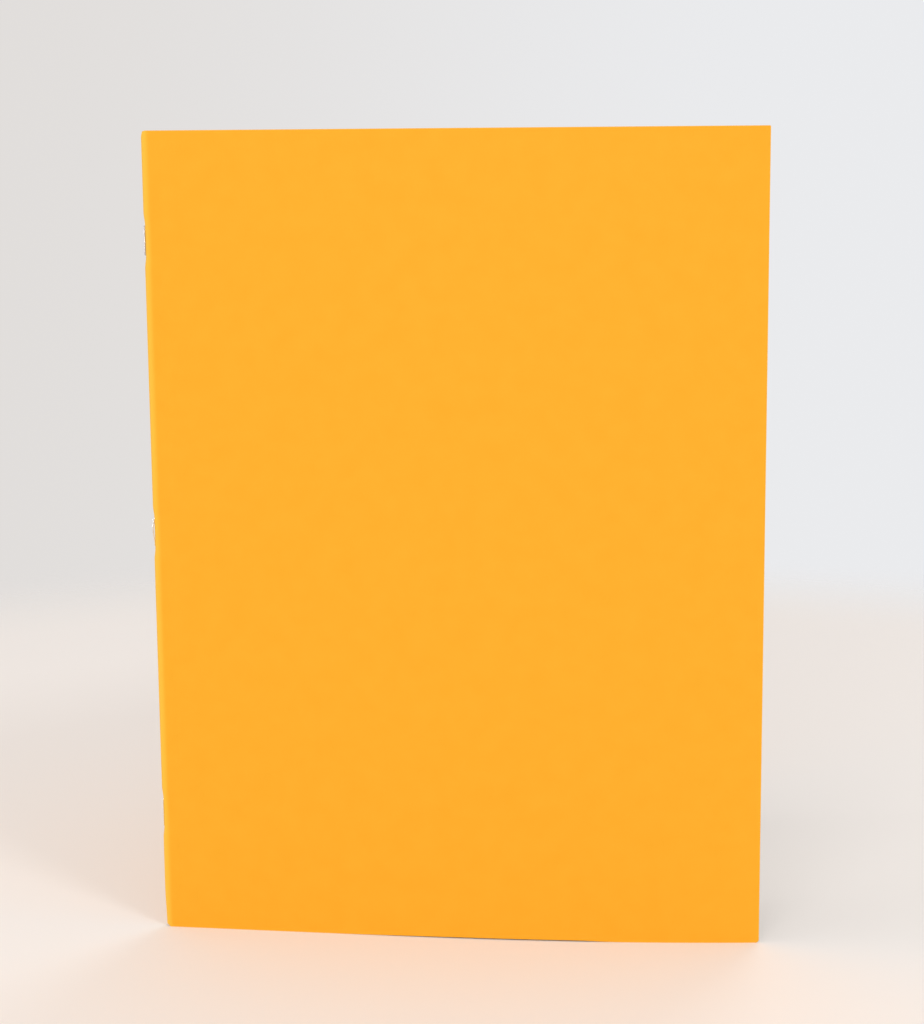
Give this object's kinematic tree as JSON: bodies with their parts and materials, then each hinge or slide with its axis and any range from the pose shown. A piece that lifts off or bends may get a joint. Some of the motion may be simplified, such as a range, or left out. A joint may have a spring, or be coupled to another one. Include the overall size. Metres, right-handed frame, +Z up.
{
  "type": "stapled exercise book",
  "caption": "Large soft-covered exercise book: a folded card cover round folded sheets, wire-stapled through the spine fold, shown standing half open.",
  "frame": {"origin": "middle of the footprint of the standing book, on the surface it stands on", "axes": "+Z up along the fold, +X from the fold towards the fore-edges, the front cover on the -Y side"},
  "size_m": [0.237, 0.1666, 0.32],
  "materials": {
    "cover_card": "matte",
    "page_paper": "matte",
    "staple_wire": "satin"
  },
  "bodies": {
    "spine": {"spine_fold": "cover_card", "sheet_fold_01": "page_paper", "sheet_fold_02": "page_paper", "sheet_fold_03": "page_paper", "sheet_fold_04": "page_paper", "sheet_fold_05": "page_paper", "sheet_fold_06": "page_paper", "sheet_fold_07": "page_paper", "sheet_fold_08": "page_paper", "sheet_fold_09": "page_paper", "sheet_fold_10": "page_paper", "sheet_fold_11": "page_paper", "sheet_fold_12": "page_paper", "staple_top": "staple_wire", "staple_middle": "staple_wire", "staple_bottom": "staple_wire"},
    "front_cover": {"front_cover": "cover_card"},
    "back_cover": {"back_cover": "cover_card"},
    "front_leaf_01": {"front_leaf_01": "page_paper"},
    "front_leaf_02": {"front_leaf_02": "page_paper"},
    "front_leaf_03": {"front_leaf_03": "page_paper"},
    "front_leaf_04": {"front_leaf_04": "page_paper"},
    "front_leaf_05": {"front_leaf_05": "page_paper"},
    "front_leaf_06": {"front_leaf_06": "page_paper"},
    "front_leaf_07": {"front_leaf_07": "page_paper"},
    "front_leaf_08": {"front_leaf_08": "page_paper"},
    "front_leaf_09": {"front_leaf_09": "page_paper"},
    "front_leaf_10": {"front_leaf_10": "page_paper"},
    "front_leaf_11": {"front_leaf_11": "page_paper"},
    "front_leaf_12": {"front_leaf_12": "page_paper"},
    "back_leaf_01": {"back_leaf_01": "page_paper"},
    "back_leaf_02": {"back_leaf_02": "page_paper"},
    "back_leaf_03": {"back_leaf_03": "page_paper"},
    "back_leaf_04": {"back_leaf_04": "page_paper"},
    "back_leaf_05": {"back_leaf_05": "page_paper"},
    "back_leaf_06": {"back_leaf_06": "page_paper"},
    "back_leaf_07": {"back_leaf_07": "page_paper"},
    "back_leaf_08": {"back_leaf_08": "page_paper"},
    "back_leaf_09": {"back_leaf_09": "page_paper"},
    "back_leaf_10": {"back_leaf_10": "page_paper"},
    "back_leaf_11": {"back_leaf_11": "page_paper"},
    "back_leaf_12": {"back_leaf_12": "page_paper"}
  },
  "joints": [
    {"name": "front_cover_open", "type": "hinge", "parent": "spine", "child": "front_cover", "pos_m": [-0.11592, -0.00005, 0], "axis": [0, 0, -1], "range_deg": [-20, 120]},
    {"name": "front_leaf_01_turn", "type": "hinge", "parent": "spine", "child": "front_leaf_01", "pos_m": [-0.11592, -0.00005, 0], "axis": [0, 0, -1], "range_deg": [-19.91, 119.44]},
    {"name": "front_leaf_02_turn", "type": "hinge", "parent": "spine", "child": "front_leaf_02", "pos_m": [-0.11592, -0.00005, 0], "axis": [0, 0, -1], "range_deg": [-19.51, 117.08]},
    {"name": "front_leaf_03_turn", "type": "hinge", "parent": "spine", "child": "front_leaf_03", "pos_m": [-0.11592, -0.00005, 0], "axis": [0, 0, -1], "range_deg": [-18.95, 113.72]},
    {"name": "front_leaf_04_turn", "type": "hinge", "parent": "spine", "child": "front_leaf_04", "pos_m": [-0.11592, -0.00005, 0], "axis": [0, 0, -1], "range_deg": [-18.27, 109.6]},
    {"name": "front_leaf_05_turn", "type": "hinge", "parent": "spine", "child": "front_leaf_05", "pos_m": [-0.11592, -0.00005, 0], "axis": [0, 0, -1], "range_deg": [-17.47, 104.84]},
    {"name": "front_leaf_06_turn", "type": "hinge", "parent": "spine", "child": "front_leaf_06", "pos_m": [-0.11592, -0.00005, 0], "axis": [0, 0, -1], "range_deg": [-16.59, 99.52]},
    {"name": "front_leaf_07_turn", "type": "hinge", "parent": "spine", "child": "front_leaf_07", "pos_m": [-0.11592, -0.00005, 0], "axis": [0, 0, -1], "range_deg": [-15.62, 93.69]},
    {"name": "front_leaf_08_turn", "type": "hinge", "parent": "spine", "child": "front_leaf_08", "pos_m": [-0.11592, -0.00005, 0], "axis": [0, 0, -1], "range_deg": [-14.56, 87.39]},
    {"name": "front_leaf_09_turn", "type": "hinge", "parent": "spine", "child": "front_leaf_09", "pos_m": [-0.11592, -0.00005, 0], "axis": [0, 0, -1], "range_deg": [-13.44, 80.66]},
    {"name": "front_leaf_10_turn", "type": "hinge", "parent": "spine", "child": "front_leaf_10", "pos_m": [-0.11592, -0.00005, 0], "axis": [0, 0, -1], "range_deg": [-12.25, 73.51]},
    {"name": "front_leaf_11_turn", "type": "hinge", "parent": "spine", "child": "front_leaf_11", "pos_m": [-0.11592, -0.00005, 0], "axis": [0, 0, -1], "range_deg": [-11, 65.98]},
    {"name": "front_leaf_12_turn", "type": "hinge", "parent": "spine", "child": "front_leaf_12", "pos_m": [-0.11592, -0.00005, 0], "axis": [0, 0, -1], "range_deg": [-9.68, 58.08]},
    {"name": "back_cover_open", "type": "hinge", "parent": "spine", "child": "back_cover", "pos_m": [-0.11592, -0.00005, 0], "axis": [0, 0, 1], "range_deg": [-20, 120]},
    {"name": "back_leaf_01_turn", "type": "hinge", "parent": "spine", "child": "back_leaf_01", "pos_m": [-0.11592, -0.00005, 0], "axis": [0, 0, 1], "range_deg": [-19.91, 119.44]},
    {"name": "back_leaf_02_turn", "type": "hinge", "parent": "spine", "child": "back_leaf_02", "pos_m": [-0.11592, -0.00005, 0], "axis": [0, 0, 1], "range_deg": [-19.51, 117.08]},
    {"name": "back_leaf_03_turn", "type": "hinge", "parent": "spine", "child": "back_leaf_03", "pos_m": [-0.11592, -0.00005, 0], "axis": [0, 0, 1], "range_deg": [-18.95, 113.72]},
    {"name": "back_leaf_04_turn", "type": "hinge", "parent": "spine", "child": "back_leaf_04", "pos_m": [-0.11592, -0.00005, 0], "axis": [0, 0, 1], "range_deg": [-18.27, 109.6]},
    {"name": "back_leaf_05_turn", "type": "hinge", "parent": "spine", "child": "back_leaf_05", "pos_m": [-0.11592, -0.00005, 0], "axis": [0, 0, 1], "range_deg": [-17.47, 104.84]},
    {"name": "back_leaf_06_turn", "type": "hinge", "parent": "spine", "child": "back_leaf_06", "pos_m": [-0.11592, -0.00005, 0], "axis": [0, 0, 1], "range_deg": [-16.59, 99.52]},
    {"name": "back_leaf_07_turn", "type": "hinge", "parent": "spine", "child": "back_leaf_07", "pos_m": [-0.11592, -0.00005, 0], "axis": [0, 0, 1], "range_deg": [-15.62, 93.69]},
    {"name": "back_leaf_08_turn", "type": "hinge", "parent": "spine", "child": "back_leaf_08", "pos_m": [-0.11592, -0.00005, 0], "axis": [0, 0, 1], "range_deg": [-14.56, 87.39]},
    {"name": "back_leaf_09_turn", "type": "hinge", "parent": "spine", "child": "back_leaf_09", "pos_m": [-0.11592, -0.00005, 0], "axis": [0, 0, 1], "range_deg": [-13.44, 80.66]},
    {"name": "back_leaf_10_turn", "type": "hinge", "parent": "spine", "child": "back_leaf_10", "pos_m": [-0.11592, -0.00005, 0], "axis": [0, 0, 1], "range_deg": [-12.25, 73.51]},
    {"name": "back_leaf_11_turn", "type": "hinge", "parent": "spine", "child": "back_leaf_11", "pos_m": [-0.11592, -0.00005, 0], "axis": [0, 0, 1], "range_deg": [-11, 65.98]},
    {"name": "back_leaf_12_turn", "type": "hinge", "parent": "spine", "child": "back_leaf_12", "pos_m": [-0.11592, -0.00005, 0], "axis": [0, 0, 1], "range_deg": [-9.68, 58.08]}
  ],
  "couplings": [
    {"joint": "front_leaf_01_turn", "follows": "front_cover_open", "ratio": 0.99532},
    {"joint": "front_leaf_02_turn", "follows": "front_cover_open", "ratio": 0.97569},
    {"joint": "front_leaf_03_turn", "follows": "front_cover_open", "ratio": 0.9477},
    {"joint": "front_leaf_04_turn", "follows": "front_cover_open", "ratio": 0.91336},
    {"joint": "front_leaf_05_turn", "follows": "front_cover_open", "ratio": 0.8737},
    {"joint": "front_leaf_06_turn", "follows": "front_cover_open", "ratio": 0.82934},
    {"joint": "front_leaf_07_turn", "follows": "front_cover_open", "ratio": 0.78074},
    {"joint": "front_leaf_08_turn", "follows": "front_cover_open", "ratio": 0.72824},
    {"joint": "front_leaf_09_turn", "follows": "front_cover_open", "ratio": 0.67212},
    {"joint": "front_leaf_10_turn", "follows": "front_cover_open", "ratio": 0.61259},
    {"joint": "front_leaf_11_turn", "follows": "front_cover_open", "ratio": 0.54983},
    {"joint": "front_leaf_12_turn", "follows": "front_cover_open", "ratio": 0.48401},
    {"joint": "back_leaf_01_turn", "follows": "back_cover_open", "ratio": 0.99532},
    {"joint": "back_leaf_02_turn", "follows": "back_cover_open", "ratio": 0.97569},
    {"joint": "back_leaf_03_turn", "follows": "back_cover_open", "ratio": 0.9477},
    {"joint": "back_leaf_04_turn", "follows": "back_cover_open", "ratio": 0.91336},
    {"joint": "back_leaf_05_turn", "follows": "back_cover_open", "ratio": 0.8737},
    {"joint": "back_leaf_06_turn", "follows": "back_cover_open", "ratio": 0.82934},
    {"joint": "back_leaf_07_turn", "follows": "back_cover_open", "ratio": 0.78074},
    {"joint": "back_leaf_08_turn", "follows": "back_cover_open", "ratio": 0.72824},
    {"joint": "back_leaf_09_turn", "follows": "back_cover_open", "ratio": 0.67212},
    {"joint": "back_leaf_10_turn", "follows": "back_cover_open", "ratio": 0.61259},
    {"joint": "back_leaf_11_turn", "follows": "back_cover_open", "ratio": 0.54983},
    {"joint": "back_leaf_12_turn", "follows": "back_cover_open", "ratio": 0.48401}
  ]
}
